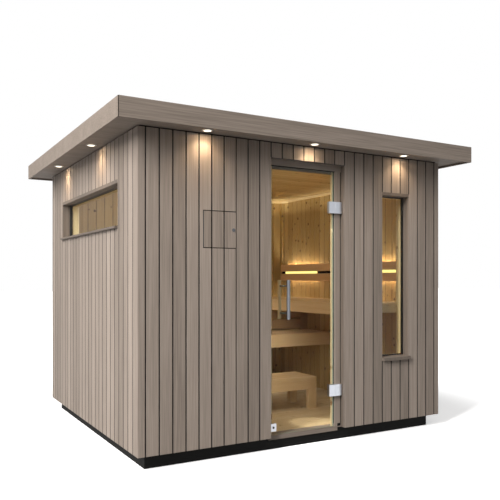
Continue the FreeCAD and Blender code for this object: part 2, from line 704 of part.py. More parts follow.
leaf_side = [leaf_hinge(index, level) for index, level in enumerate(HINGE_LEVELS, start=1)]
frame_side = [frame_hinge(index, level) for index, level in enumerate(HINGE_LEVELS, start=1)]
keep(glass_leaf(), group("leaf_hinges", leaf_side, "Part::Compound"),
     group("frame_hinges", frame_side, "Part::Compound"), *handles(), lock())


# Hatch: flush panel on a slim pin hinge, with a cam lock

def hatch():
    hole_left = f"(-({outer_x}) + dims.hatch_inset)"
    hole_right = f"({hole_left} + dims.hatch_width)"
    gap = "dims.hatch_gap"
    xs = (f"{hole_left} + {gap}", f"{hole_right} - {gap}")
    heights = (f"dims.hatch_base + {gap}", f"dims.hatch_base + dims.hatch_height - {gap}")
    panel_back = f"({front_y} + dims.hatch_board)"
    panel_sheet = block("hatch_sheet", xs, (front_y, panel_back), heights)
    lock_at = f"({hole_right} - {gap} - dims.hatch_lock_inset)"
    level = "(dims.hatch_base + dims.hatch_height / 2)"
    barrel = "(dims.hatch_lock_radius * 0.7)"
    bore = rod("hatch_bore", f"{barrel} + dims.bolt_clearance", "dims.hatch_board + 2",
               (lock_at, f"{front_y} - 1", level), "y")
    rosette = rod("hatch_rosette", "dims.hatch_lock_radius", "dims.hatch_lock_proud",
                  (lock_at, f"{front_y} - dims.hatch_lock_proud", level), "y")
    stem = rod("hatch_stem", barrel, "dims.hatch_board + dims.cam_thickness",
               (lock_at, front_y, level), "y")
    cam = block("hatch_cam", (f"{lock_at} - dims.cam_width / 2", f"{lock_at} + dims.cam_width / 2"),
                (panel_back, f"{panel_back} + dims.cam_thickness"),
                (f"{level} - dims.cam_drop", f"{level} + dims.cam_width / 2"))
    leaf = block("hatch_hinge_leaf", (hole_left, f"{hole_left} + dims.hatch_leaf"),
                 (front_y, f"{front_y} + dims.cladding_board"), heights)
    pin = rod("hatch_hinge_pin", f"{gap} / 2 - dims.hatch_play", f"{heights[1]} - ({heights[0]})",
              (f"{hole_left} + {gap} / 2", front_y, heights[0]))
    keep(cut("hatch_panel", panel_sheet, [bore]),
         group("hatch_lock", [rosette, stem, cam]),
         group("hatch_hinge", [leaf, pin]))


hatch()


# Benches: slats over cross battens behind a front board

def slatted_bench(name, along, across, ends, front, rear, top, front_height, outwards):
    """Bench whose slats run along one axis, with its front board at front."""
    board = "dims.bench_board"
    count = int(size("dims.slat_count"))
    pieces = []
    inside = f"({front} + {outwards} * {board})"
    width = f"(({outwards} * ({rear} - {inside}) - dims.slat_gap * {count}) / {count})"

    def piece(label, lengthwise, low, high, heights):
        crosswise = (low, high) if outwards > 0 else (high, low)
        ranges = (lengthwise, crosswise) if along == "x" else (crosswise, lengthwise)
        pieces.append(block(f"{name}_{label}", ranges[0], ranges[1], heights))

    piece("front", ends, front, inside, (f"{top} - {front_height}", top))
    for index in range(count):
        low = f"({inside} + {outwards} * (dims.slat_gap + {index} * ({width} + dims.slat_gap)))"
        high = f"({low} + {outwards} * {width})"
        piece(f"slat_{index + 1}", ends, low, high, (f"{top} - {board}", top))
    span = f"({ends[1]} - ({ends[0]}) - dims.batten_width)"
    battens = 4
    for index in range(battens):
        low = f"({ends[0]} + {index} * {span} / {battens - 1})"
        piece(f"batten_{index + 1}", (low, f"{low} + dims.batten_width"), inside, rear,
              (f"{top} - 3 * {board}", f"{top} - {board}"))
    return group(name, pieces)


upper_back_front = f"({room_y} - dims.bench_depth)"
upper_right_front = f"({room_x} - dims.bench_depth)"
riser_face = f"({upper_back_front} + dims.riser_setback)"
keep(slatted_bench("upper_bench_back", "x", "y", both(room_x), upper_back_front, room_y,
                   "dims.bench_top", "dims.bench_fascia", 1),
     slatted_bench("upper_bench_right", "y", "x", (negative(room_y), upper_back_front),
                   upper_right_front, room_x, "dims.bench_top", "dims.bench_fascia", 1),
     slatted_bench("lower_bench", "x", "y", both(room_x), "dims.lower_front",
                   f"({riser_face} + dims.riser_board + dims.lower_tuck)", lower_top,
                   "dims.lower_fascia", 1))


def bench_riser():
    """Two horizontal boards between posts, from the lower to the upper bench."""
    top = "(dims.bench_top - dims.bench_fascia)"
    depth = (riser_face, f"{riser_face} + dims.riser_board")
    gap = "dims.riser_gap"
    board = f"(({top} - {lower_top} - 2 * {gap}) / 2)"
    pieces = [block("riser_post_left", (negative(room_x), f"-{room_x} + dims.riser_post"),
                    depth, (lower_top, top)),
              block("riser_post_right", (f"{room_x} - dims.riser_post", room_x),
                    depth, (lower_top, top))]
    for index in range(2):
        low = f"({lower_top} + {gap} + {index} * ({board} + {gap}))"
        pieces.append(block(f"riser_board_{index + 1}", both(f"({room_x} - dims.riser_post)"),
                            depth, (low, f"{low} + {board}")))
    return group("bench_riser", pieces)


def step_stool():
    """Low stool: slatted top, aprons and four square legs."""
    left = "dims.stool_left"
    right = "(dims.stool_left + dims.stool_width)"
    front = "(dims.stool_front)"
    rear = "(dims.stool_front + dims.stool_depth)"
    board = "dims.bench_board"
    top = f"({floor_top} + dims.stool_height)"
    apron = (f"{top} - dims.stool_apron", f"{top} - {board}")
    thin = "(dims.bench_board * 0.8)"
    pieces = []
    count = int(size("dims.stool_slats"))
    width = f"((dims.stool_depth - ({count} - 1) * dims.slat_gap) / {count})"
    for index in range(count):
        low = f"({front} + {index} * ({width} + dims.slat_gap))"
        pieces.append(block(f"stool_slat_{index + 1}", (left, right), (low, f"{low} + {width}"),
                            (f"{top} - {board}", top)))
    for name, xs, ys in (("front", (left, right), (front, f"{front} + {thin}")),
                         ("rear", (left, right), (f"{rear} - {thin}", rear)),
                         ("left", (left, f"{left} + {thin}"), (front, rear)),
                         ("right", (f"{right} - {thin}", right), (front, rear))):
        pieces.append(block(f"stool_apron_{name}", xs, ys, apron))
    leg = "dims.stool_leg"
    slim = "(dims.stool_leg / 2)"
    for index, (x, y) in enumerate(((left, front), (f"{right} - {leg}", front),
                                    (left, f"{rear} - {slim}"),
                                    (f"{right} - {leg}", f"{rear} - {slim}")), start=1):
        pieces.append(block(f"stool_leg_{index}", (x, f"{x} + {leg}"), (y, f"{y} + {slim}"),
                            (floor_top, apron[1])))
    return group("step_stool", pieces)


def backrest(name, along, wall, low_end, high_end):
    """Two boards held off the wall by upright spacers, and light strips between them."""
    base = "(dims.bench_top + dims.rest_rise)"
    gap_base = f"({base} + dims.rest_low)"
    gap_top = f"({gap_base} + dims.rest_gap)"
    top = f"({gap_top} + dims.rest_high)"
    near = f"({wall} - dims.rest_standoff)"
    far = f"({near} - dims.rest_board)"

    def piece(label, low, high, depth, heights):
        ranges = ((low, high), depth) if along == "x" else (depth, (low, high))
        return block(f"{name}_{label}", ranges[0], ranges[1], heights)

    pieces = [piece("low_board", low_end, high_end, (far, near), (base, gap_base)),
              piece("high_board", low_end, high_end, (far, near), (gap_top, top))]
    travel = f"({high_end} - {low_end} - dims.rest_spacer_inset - dims.rest_spacer)"
    for index in range(3):
        low = f"({low_end} + {index} * {travel} / 2)"
        pieces.append(piece(f"spacer_{index + 1}", low, f"{low} + dims.rest_spacer",
                            (near, wall), (base, top)))
    inset = "((dims.rest_board - dims.light_depth) / 2)"
    glow = (f"{far} + {inset}", f"{near} - {inset}")
    first = f"({low_end} + dims.rest_spacer + dims.light_end)"
    last = f"({low_end} + {travel} - dims.light_start)"
    strips = [piece(f"lamp_{index}", low, high, glow, (gap_base, gap_top))
              for index, (low, high) in enumerate((
                  (first, f"{first} + dims.light_length"),
                  (f"{last} - dims.light_length", last)), start=1)] if along == "y" else []
    return group(name, pieces), strips


def backrests():
    back_end = f"({room_x} - dims.back_rest_corner)"
    right_rest, strips = backrest("right_rest", "y", room_x, f"(dims.rest_end - {room_y})",
                                  f"({room_y} - dims.rest_corner)")
    back_rest, _ = backrest("back_rest", "x", room_y, negative(back_end), back_end)
    keep(group("backrests", [right_rest, back_rest], "Part::Compound"),
         group("light_strips", strips, "Part::Compound"))


keep(bench_riser(), step_stool())
backrests()


# Check and write

doc.recompute()
for item in doc.Objects:
    if "Invalid" in item.State or "Error" in item.State:
        raise RuntimeError(f"{item.Name} failed: {item.State}")
for node in nodes:
    if node.Shape.isNull() or not node.Shape.isValid() or not node.Shape.Solids:
        raise RuntimeError(f"{node.Label} has no valid shape")
os.makedirs("parts", exist_ok=True)
for node in nodes:
    node.Shape.exportStep(os.path.join("parts", f"{node.Label}.step"))
    print(f"{node.Label:24s} {len(node.Shape.Solids):3d} solids {node.Shape.Volume / 1e9:8.4f} m3")
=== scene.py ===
import math
import random

import bmesh
import bpy
from mathutils import Matrix, Vector


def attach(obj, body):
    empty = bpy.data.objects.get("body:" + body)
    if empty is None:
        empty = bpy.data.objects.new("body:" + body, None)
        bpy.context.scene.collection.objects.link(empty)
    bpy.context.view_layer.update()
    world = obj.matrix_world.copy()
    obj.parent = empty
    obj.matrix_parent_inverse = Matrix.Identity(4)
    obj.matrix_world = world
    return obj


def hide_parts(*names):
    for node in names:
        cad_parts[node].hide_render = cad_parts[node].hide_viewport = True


# Outdoor sauna cabin. The solids come packed; this script adds the single boards, the
# grain of each timber, glass, lamps, studio and camera. Lengths are in millimetres and
# turned to metres where a mesh is made. Lamps and camera stand in metres.

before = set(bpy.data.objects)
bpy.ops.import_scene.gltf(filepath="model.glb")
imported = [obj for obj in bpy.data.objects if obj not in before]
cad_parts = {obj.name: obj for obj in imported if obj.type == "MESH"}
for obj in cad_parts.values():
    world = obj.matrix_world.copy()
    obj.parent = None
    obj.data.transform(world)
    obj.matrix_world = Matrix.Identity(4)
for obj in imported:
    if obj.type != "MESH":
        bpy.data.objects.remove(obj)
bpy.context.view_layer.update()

MM = 0.001

# Faces of the cabin, as in the part's source. Walls lie at plus and minus X and Y.
EAVE_X, EAVE_Y = 1605, 1466        # outer face of the fascia
DECK_X, DECK_Y = 1585, 1446        # roof deck inside the fascia
WALL_X, WALL_Y = 1405, 1266        # outer face of the cladding
CORE_X, CORE_Y = 1385, 1246        # wall core behind the cladding
SLEEVE_X, SLEEVE_Y = 1259, 1120    # back of the panelling
ROOM_X, ROOM_Y = 1245, 1106        # face of the panelling
WALL_FOOT, CLADDING_TOP = 103, 2342
FLOOR_FOOT, FLOOR_TOP = 80, 110
CEILING, CEILING_TOP = 2242, 2260
FASCIA_FOOT, SOFFIT, SHEET_TOP, FASCIA_TOP = 2337, 2352, 2451, 2471

# Openings and panels: left, right, foot and head
DOOR = (-350, 350, 0, 2230)
FRONT_WINDOW = (750, 1050, 650, 2017)
LEFT_WINDOW = (-839, 839, 1703, 2015)
HATCH = (-918, -647, 1530.5, 1802.5)
HATCH_PANEL = (-912.5, -652.5, 1536, 1797)

# Boards
BOARD_PITCH, BOARD_GAP = 100, 9    # cladding
FRONT_GAPS = range(-1350, 1351, BOARD_PITCH)  # centres of the open gaps
SIDE_GAPS = range(-1166, 1235, BOARD_PITCH)
CLADDING_EDGE = 0.8                # eased edge of outdoor boards
SKIN = 0.6                         # what lies deeper behind the show face is an edge
BESIDE = 2                         # how near to a hole's side counts as beside it
ROOM_BOARD, FLOOR_BOARD = 88, 112  # pitch of panelling and of floor planks, about
JOINT, ROOM_BEVEL = 1.5, 3.2       # between the room's boards
TRIM = 20                          # boards that line the windows
HEAD_STRIP = 25                    # over each window
FRONT_SILL, LEFT_SILL = 32, 20     # height of the sills
SILL_NOSE = 24                     # how far the sills stand out
CASING, REVEAL = (20, 70), (95, 160)  # front and back, measured from the cladding's face
SAME = 0.5                         # board value of pieces that need no tone of their own

# Doorway: glass in front of the stops, hinges on the right
FRAME_Y, STOP_FRONT, STOP_BACK = -1216, -1195, -1183
POST_FACE, POST_SIDE = 285, 342    # hinge post, up to the shadow rebate
NOTCH_SIDE, NOTCH_TOP = 314, 134   # room in its foot for the lower hinge
HINGE_STOP, LOCK_STOP, LINER = 269, 300, 330
LOCK_FACE, HEAD_FOOT, HEAD_STOP = 335, 2180, 2158  # lock post, head and its stop

# Benches
BENCH_DEPTH, BENCH_TOP, BENCH_FACE = 600, 1096, 112
LOW_BENCH_DEPTH, LOW_BENCH_TOP, LOW_BENCH_FACE = (100, 660), 743, 130
SLAT, SLAT_GAP, SLATS = 28, 10, 6  # thickness, gap and count of bench slats
BATTEN, BATTEN_FOOT, BATTENS = 60, 84, 4
SLAT_EDGE, RAIL_EDGE = 2.0, 1.5    # eased edges of slats and of rails
REST_LOW, REST_HIGH = (1289, 1368.5), (1394.5, 1474)

# Lights
SPOTS = [(x, -1341) for x in (-920, 0, 920)] + [(-1489, -444), (-1489, 628)]
DAYLIGHT, LAMPLIGHT, WARM = "FFFCF8", "FFE0B8", "FFFAF0"
AMBIENT = 0.22                     # plain light from all sides
FLOOR_LIFT, FLOOR_WHITE = 0.5, 1.1  # glow of the studio floor by the cabin and far off


# Colours

def linear(code):
    """Linear colour of an sRGB hex code."""
    parts = [int(code[i:i + 2], 16) / 255 for i in (0, 2, 4)]
    return tuple(v / 12.92 if v <= 0.04045 else ((v + 0.055) / 1.055) ** 2.4
                 for v in parts) + (1.0,)


# Materials

def add(tree, kind, inputs=None, **settings):
    """Adds a node with its settings; inputs are values or sockets to link."""
    node = tree.nodes.new(kind)
    for name, value in settings.items():
        setattr(node, name, value)
    for name, value in (inputs or {}).items():
        if isinstance(value, bpy.types.NodeSocket):
            tree.links.new(value, node.inputs[name])
        else:
            node.inputs[name].default_value = value
    return node


def new_material(name):
    material = bpy.data.materials.new(name)
    material.use_nodes = True
    material.node_tree.nodes.clear()
    return material, material.node_tree


def surface(tree, shader):
    add(tree, "ShaderNodeOutputMaterial", {"Surface": shader})


def timber(name, along, dark, pale, streak, length, board_tone=0.35, knots=None,
           knot_pitch=None, rough=0.62, relief=0.25, groove_shade=None):
    """Sawn or planed wood, its grain along one axis.

    dark and pale are the colours of late and early wood, streak and length the size of
    the grain lines. Boards built here carry a random value each, which shifts their
    grain and tone, so that neighbours differ as boards from one pack do. knots is the
    colour of the knots. The colour for sawn edges is painted shade: it darkens the edges
    and bevels that the attribute "edge" marks, as the shade between boards would.
    """
    fine_share, cloud_share = 0.8, 0.3   # of the grain lines and of the wide clouds
    cloud_length, cloud_width = 2.5, 12  # clouds, as times the grain lines
    darkest, palest = 0.32, 0.78         # range of the pattern that the two colours span
    board_shift = (7.3, 5.1, 9.7)        # how far boards lie apart in the pattern
    material, tree = new_material(name)
    place = add(tree, "ShaderNodeTexCoord").outputs["Object"]
    board = add(tree, "ShaderNodeAttribute", attribute_name="board").outputs["Fac"]
    jump = add(tree, "ShaderNodeVectorMath", {0: board_shift, "Scale": board},
               operation="SCALE").outputs[0]
    moved = add(tree, "ShaderNodeVectorMath", {0: place, 1: jump}, operation="ADD").outputs[0]
    across, lengthwise = 1 / (streak * MM), 1 / (length * MM)
    scale = [lengthwise if axis == along else across for axis in "xyz"]
    grain_place = add(tree, "ShaderNodeMapping", {0: moved, "Scale": scale}).outputs[0]
    grain = add(tree, "ShaderNodeTexNoise", {
        "Vector": grain_place, "Scale": 1.0, "Detail": 3.0, "Roughness": 0.6}).outputs[0]
    wide_scale = [s / (cloud_length if axis == along else cloud_width)
                  for s, axis in zip(scale, "xyz")]
    wide_place = add(tree, "ShaderNodeMapping", {0: moved, "Scale": wide_scale}).outputs[0]
    wide = add(tree, "ShaderNodeTexNoise", {
        "Vector": wide_place, "Scale": 1.0, "Detail": 2.0, "Roughness": 0.5}).outputs[0]
    fine = add(tree, "ShaderNodeMath", {0: grain, 1: fine_share}, operation="MULTIPLY").outputs[0]
    mixed = add(tree, "ShaderNodeMath", {0: wide, 1: cloud_share, 2: fine},
                operation="MULTIPLY_ADD").outputs[0]
    toned = add(tree, "ShaderNodeMath", {0: board, 1: board_tone, 2: mixed},
                operation="MULTIPLY_ADD").outputs[0]
    share = add(tree, "ShaderNodeMapRange",
                {0: toned, 1: darkest, 2: palest + board_tone}).outputs[0]
    colour = add(tree, "ShaderNodeMix", {0: share, 6: linear(dark), 7: linear(pale)},
                 data_type="RGBA").outputs[2]
    if knots:
        core, rim, strength = 0.08, 0.2, 0.9  # the radii as shares of the pitch
        spots = add(tree, "ShaderNodeTexVoronoi", {
            "Vector": moved, "Scale": 1 / (knot_pitch * MM)}).outputs["Distance"]
        ring = add(tree, "ShaderNodeMapRange", {0: spots, 1: core, 2: rim, 3: strength, 4: 0.0},
                   interpolation_type="SMOOTHSTEP").outputs[0]
        colour = add(tree, "ShaderNodeMix", {0: ring, 6: colour, 7: linear(knots)},
                     data_type="RGBA").outputs[2]
    if groove_shade:
        edge = add(tree, "ShaderNodeAttribute", attribute_name="edge").outputs["Fac"]
        colour = add(tree, "ShaderNodeMix", {0: edge, 6: colour, 7: linear(groove_shade)},
                     data_type="RGBA").outputs[2]
    bump = add(tree, "ShaderNodeBump", {
        "Height": grain, "Strength": relief, "Distance": 0.6 * MM}).outputs[0]
    shader = add(tree, "ShaderNodeBsdfPrincipled", {
        "Base Color": colour, "Roughness": rough, "IOR": 1.5, "Normal": bump})
    surface(tree, shader.outputs[0])
    return material


def plain(name, colour, rough, metallic=0.0, mottle=None, mottle_size=4.0, relief=0.0,
          shine=0.5):
    """Even finish; mottle is the colour of faint clouds of the given size."""
    material, tree = new_material(name)
    inputs = {"Base Color": linear(colour), "Roughness": rough, "Metallic": metallic,
              "Specular IOR Level": shine}
    if mottle:
        place = add(tree, "ShaderNodeTexCoord").outputs["Object"]
        clouds = add(tree, "ShaderNodeTexNoise", {
            "Vector": place, "Scale": 1 / (mottle_size * MM), "Detail": 4.0}).outputs[0]
        inputs["Base Color"] = add(
            tree, "ShaderNodeMix", {0: clouds, 6: linear(colour), 7: linear(mottle)},
            data_type="RGBA").outputs[2]
        if relief:
            inputs["Normal"] = add(tree, "ShaderNodeBump", {
                "Height": clouds, "Strength": relief, "Distance": 0.5 * MM}).outputs[0]
    surface(tree, add(tree, "ShaderNodeBsdfPrincipled", inputs).outputs[0])
    return material


def glass(name, tint, mirrored, rim_colour=None):
    """Clear glass: it mirrors a little, more at a slant, and lets light through.

    Only the face that light meets first mirrors, because the light isn't bent inside. A
    leaf without a frame shows its polished rim, on the faces that don't look along y.
    """
    material, tree = new_material(name)
    through = add(tree, "ShaderNodeBsdfTransparent", {"Color": linear(tint)}).outputs[0]
    mirror = add(tree, "ShaderNodeBsdfGlossy", {
        "Color": linear(mirrored), "Roughness": 0.02}).outputs[0]
    fresnel = add(tree, "ShaderNodeFresnel", {"IOR": 1.5}).outputs[0]
    inner = add(tree, "ShaderNodeNewGeometry").outputs["Backfacing"]
    outer = add(tree, "ShaderNodeMath", {0: 1.0, 1: inner}, operation="SUBTRACT").outputs[0]
    share = add(tree, "ShaderNodeMath", {0: fresnel, 1: outer}, operation="MULTIPLY").outputs[0]
    pane = add(tree, "ShaderNodeMixShader", {0: share, 1: through, 2: mirror}).outputs[0]
    if not rim_colour:
        surface(tree, pane)
        return material
    normal = add(tree, "ShaderNodeTexCoord").outputs["Normal"]
    facing = add(tree, "ShaderNodeVectorMath", {0: normal, 1: (0, 1, 0)},
                 operation="DOT_PRODUCT").outputs["Value"]
    flat = add(tree, "ShaderNodeMath", {0: facing}, operation="ABSOLUTE").outputs[0]
    rim = add(tree, "ShaderNodeMath", {0: flat, 1: 0.5}, operation="LESS_THAN").outputs[0]
    polished = add(tree, "ShaderNodeBsdfPrincipled", {
        "Base Color": linear(rim_colour), "Roughness": 0.15, "IOR": 1.5}).outputs[0]
    surface(tree, add(tree, "ShaderNodeMixShader", {0: rim, 1: pane, 2: polished}).outputs[0])
    return material


def glowing(name, colour, strength):
    """Lit diffuser."""
    material, tree = new_material(name)
    surface(tree, add(tree, "ShaderNodeEmission", {
        "Color": linear(colour), "Strength": strength}).outputs[0])
    return material


# Spruce boards, fine sawn and stained grey brown. The eye sees a matt face with soft
# streaks along each board, and edges painted nearly black as shade in the gaps. Real grain
# lines are 1 to 2 mm wide, too fine for the render, so they are drawn 8 mm wide.
stained = {axis: timber(
    f"grey_brown_stained_spruce_{axis}", axis, "6F645A", "B3A59A", 8, 420, board_tone=0.35,
    rough=0.72, relief=0.3, groove_shade="0E0B0A") for axis in "xz"}

# The same stain on sawn casing boards, made half as pale as painted shade for the shade in
# the openings; matt, nearly one tone. The sills take it too.
shaded_casing_stain = timber("casing_stain_darkened_as_shade", "z", "50473F", "7D7167", 8, 420, board_tone=0.2,
                      rough=0.72, relief=0.3)

# Spruce panelling, planed and left bare. It looks honey yellow and satin, with small
# brown knots and bevels browned as painted shade; its 1 mm grain is drawn 6 mm wide so that it
# shows.
panelling = {axis: timber(
    f"knotty_spruce_{axis}", axis, "AB8B4F", "D6BA80", 6, 420, board_tone=0.45,
    knots="5A3414", knot_pitch=90, rough=0.5, relief=0.12, groove_shade="755630") for axis in "xz"}

# Spruce trim from clear stock, planed: creamy and nearly plain, with a rare knot. Its
# grain is drawn 5 mm wide so that it shows.
trim_spruce = {axis: timber(
    f"planed_trim_spruce_{axis}", axis, "E0C795", "F4E3BC", 5, 420, board_tone=0.2,
    knots="9A6A3C", knot_pitch=150, rough=0.5, relief=0.1) for axis in "yz"}

# Alder, planed and sanded for bare skin: smooth and tan, with fine even grain 2 mm wide
# and a faint sheen.
bench_timber = {axis: timber(
    f"planed_alder_{axis}", axis, "C4A174", "E6CEA2", 2, 380, board_tone=0.3, rough=0.45,
    relief=0.08) for axis in "xyz"}

# Alder, oiled, for the backrests: the same grain with a redder glow.
rest_timber = {axis: timber(
    f"oiled_alder_{axis}", axis, "CB9B6B", "EBC799", 2, 380, board_tone=0.3, rough=0.45,
    relief=0.08) for axis in "xyz"}

# Alder for the riser: darker and duller than the benches, the darkness being painted shade
# from the upper bench above it, with grain drawn 5 mm wide so that it shows.
shaded_riser_alder = timber("riser_alder_darkened_as_shade", "x", "93704C", "B8946B", 5, 380, board_tone=0.3,
                    rough=0.5, relief=0.08)

# Spruce planks, sawn, for the floor: pale and dull, specked with small knots, with
# grain drawn 3 mm wide so that it shows.
planks = timber("sawn_floor_spruce", "x", "BFA378", "E8D4AE", 3, 500, board_tone=0.3,
                knots="7A5226", knot_pitch=75, rough=0.6, relief=0.15)

# Softwood, rough sawn and left bare, for the roof deck: brown and matt, with coarse
# streaks 5 mm wide.
roof_timber = timber("rough_roof_timber", "x", "6E5A42", "93795A", 5, 400)

# Base timber, dipped in black stain: no sheen, faint clouds a finger wide.
black_timber = plain("black_stained_base", "0F0F0E", 0.85, mottle="070706", mottle_size=9,
                     relief=0.3, shine=0.2)

# Woven weather sheet, black: dull, so that the gaps between boards read as dark lines.
# It also makes black strips of painted shade in the fascia's corners and beside the light strips.
weather_sheet = plain("black_weather_sheet", "0B0A09", 0.9, shine=0.1)

# Extruded rubber: black and dull. It makes the seals and the strips of painted shade by the door
# posts.
rubber = plain("black_rubber_seal", "060606", 0.8, shine=0.2)

# Rolled bitumen with slate grit: charcoal, matt; grit of 1.5 mm gives a grainy face.
membrane = plain("bitumen_membrane", "2C2C2E", 0.85, mottle="3A3A3C", mottle_size=1.5,
                 relief=0.4)

# Aluminium, powder coated: even black with a soft highlight.
black_metal = plain("black_powder_coat", "141414", 0.45)

# Steel, blasted and chromed: silvery, a blurred mirror with a faint mottle of 3 mm,
# coarser than the blasting so that it shows.
satin_chrome = plain("satin_chromed_steel", "B9BCC2", 0.34, metallic=1.0, mottle="A6AAB2",
                     mottle_size=3)

# Stainless tube, brushed: darker than chrome. The brush lines don't show at this size,
# only their blurred highlight.
brushed_steel = plain("brushed_stainless_steel", "696B6F", 0.34, metallic=1.0)

# Die-cast zinc, dark plated: a small grey disc with a soft highlight.
dark_steel = plain("dark_zinc_cam_lock", "5E5F62", 0.4, metallic=1.0)

# Aluminium ring, lacquered white: pale, even, half matt.
lamp_metal = plain("white_lamp_ring", "D8D8D6", 0.4)

# Float glass, tempered, 8 mm: nearly unseen from the front, grey green at its rim.
clear_glass = glass("clear_tempered_glass", "FAFBF9", "5C5C5C", "8FA39A")

# Sealed double pane: its four faces mirror more than the single leaf does.
double_pane = glass("sealed_double_pane", "FAFBF9", "949494")

# Opal diffusers over light-emitting strips and spots: an even warm glow.
strip_glow = glowing("warm_light_strip", "FFF08C", 1.5)
lens_glow = glowing("warm_lamp_lens", "FFF3DC", 3.0)


# Shapes

def start():
    """Empty mesh whose vertices carry a board's random value and the painted shade of its sawn
    edges.
    """
    mesh = bmesh.new()
    mesh.verts.layers.float.new("board")
    mesh.verts.layers.float.new("edge")
    return mesh


def finish_board(mesh, corners, edges, edge, value):
    """Eases the edges and gives the board's vertices its random value."""
    if edge:
        corners = bmesh.ops.bevel(mesh, geom=edges, offset=edge * MM, offset_type="OFFSET",
                                  segments=1, profile=0.5, affect="EDGES", clamp_overlap=True,
                                  material=-1)["verts"]
    layer = mesh.verts.layers.float["board"]
    for vertex in corners:
        vertex[layer] = value
    return corners


def board(mesh, xs, ys, zs, value, edge):
    """Rectangular board with eased edges between two corners."""
    middle = [(low + high) / 2 * MM for low, high in (xs, ys, zs)]
    span = [(high - low) * MM for low, high in (xs, ys, zs)]
    made = bmesh.ops.create_cube(mesh, size=1.0, matrix=(
        Matrix.Translation(middle) @ Matrix.Diagonal((*span, 1.0))))
    edges = list({e for v in made["verts"] for e in v.link_edges})
    return finish_board(mesh, made["verts"], edges, edge, value)


def lying(along, lengthwise, crosswise):
    """The x range and the y range of a piece that runs along x or y."""
    return (lengthwise, crosswise) if along == "x" else (crosswise, lengthwise)


def plate(mesh, outline, plane, low, high, value, edge):
    """Board sawn to an outline; plane names the axes of the outline."""
    order = {"xz": (0, 2, 1), "yz": (1, 2, 0), "xy": (0, 1, 2)}[plane]

    def point(a, b, depth):
        place = [0.0, 0.0, 0.0]
        for axis, value_mm in zip(order, (a, b, depth)):
            place[axis] = value_mm * MM
        return Vector(place)

    corners = [mesh.verts.new(point(a, b, low)) for a, b in outline]
    face = mesh.faces.new(corners)
    made = bmesh.ops.extrude_face_region(mesh, geom=[face])
    moved = [item for item in made["geom"] if isinstance(item, bmesh.types.BMVert)]
    bmesh.ops.translate(mesh, verts=moved, vec=point(0, 0, high - low))
    corners += moved
    bmesh.ops.recalc_face_normals(mesh, faces=list({f for v in corners for f in v.link_faces}))
    edges = list({e for v in corners for e in v.link_edges})
    return finish_board(mesh, corners, edges, edge, value)


def disc(mesh, place, radius, depth, turn):
    """Flat disc around a place, facing up or turned to face along y."""
    bmesh.ops.create_cone(
        mesh, cap_ends=True, segments=32, radius1=radius * MM, radius2=radius * MM,
        depth=depth * MM, matrix=Matrix.Translation([v * MM for v in place]) @ turn)


def piece(mesh, name, material, body="root", replaces=()):
    """Turns a bmesh into a piece with the given material, which rides a body and hides the solids
    it replaces.
    """
    data = bpy.data.meshes.new(name)
    mesh.to_mesh(data)
    mesh.free()
    data.materials.append(material)
    shape = bpy.data.objects.new(name, data)
    bpy.context.scene.collection.objects.link(shape)
    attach(shape, body)
    if replaces:
        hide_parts(*replaces)


def widened(hole, side, foot, head):
    """A hole made larger at both sides, at its foot and at its head."""
    left, right, low, high = hole
    return left - side, right + side, low - foot, high + head


def bitten(u_low, u_high, foot, head, hole):
    """Outlines of a board that a hole bites, or that reaches the edge of a hole beside it."""
    if not hole:
        return [[(u_low, foot), (u_high, foot), (u_high, head), (u_low, head)]]
    left, right, bottom, top = hole
    if left <= u_low and right >= u_high:
        parts = [(foot, bottom), (top, head)]
        return [[(u_low, a), (u_high, a), (u_high, b), (u_low, b)] for a, b in parts if b > a]
    if bottom < foot and left > u_low:
        return [[(u_low, foot), (left, foot), (left, top), (u_high, top), (u_high, head),
                 (u_low, head)]]
    if bottom < foot:
        return [[(right, foot), (u_high, foot), (u_high, head), (u_low, head), (u_low, top),
                 (right, top)]]
    if left > u_low:
        return [[(u_low, foot), (u_high, foot), (u_high, bottom), (left, bottom), (left, top),
                 (u_high, top), (u_high, head), (u_low, head)]]
    return [[(u_low, foot), (u_high, foot), (u_high, head), (u_low, head), (u_low, top),
             (right, top), (right, bottom), (u_low, bottom)]]


def mark_groove_shade(mesh, corners, plane, face, holes=()):
    """Marks the sawn edges of a board whose show face lies at the given depth, for painted shade.

    An edge beside a hole gets half the painted shade, since light reaches it there.
    """
    layer = mesh.verts.layers.float["edge"]
    depth_axis, side_axis = {"xz": (1, 0), "yz": (0, 1), "xy": (2, 0)}[plane]
    sides = [side for hole in holes for side in hole[:2]]
    for vertex in corners:
        deep = abs(vertex.co[depth_axis] / MM - face) > SKIN
        at_hole = any(abs(vertex.co[side_axis] / MM - side) < BESIDE for side in sides)
        vertex[layer] = deep * (0.5 if at_hole else 1.0)


def sheathe(mesh, plane, heights, depth, ranges, holes, shade, edge, gap=0):
    """Upright boards over a wall; heights is foot and head, ranges the boards' own ranges.

    Boards with gaps show their outer face, and those beside a hole reach its edge.
    """
    for low, high in ranges:
        value = shade.random()
        hit = [h for h in holes if h[0] < high + gap and h[1] > low - gap
               and not (gap and min(abs(h[0] - high), abs(h[1] - low)) < BESIDE)]
        for outline in bitten(low, high, *heights, hit[0] if hit else None):
            corners = plate(mesh, outline, plane, *depth, value, edge)
            # The board's sawn edges get painted shade.
            mark_groove_shade(mesh, corners, plane, (max if gap else min)(depth, key=abs), holes)


# Cladding: upright boards with open gaps, which run on across the hatch

def between(gaps):
    """Ranges of the boards between the centres of open gaps."""
    return [(left + BOARD_GAP / 2, right - BOARD_GAP / 2) for left, right in zip(gaps, gaps[1:])]


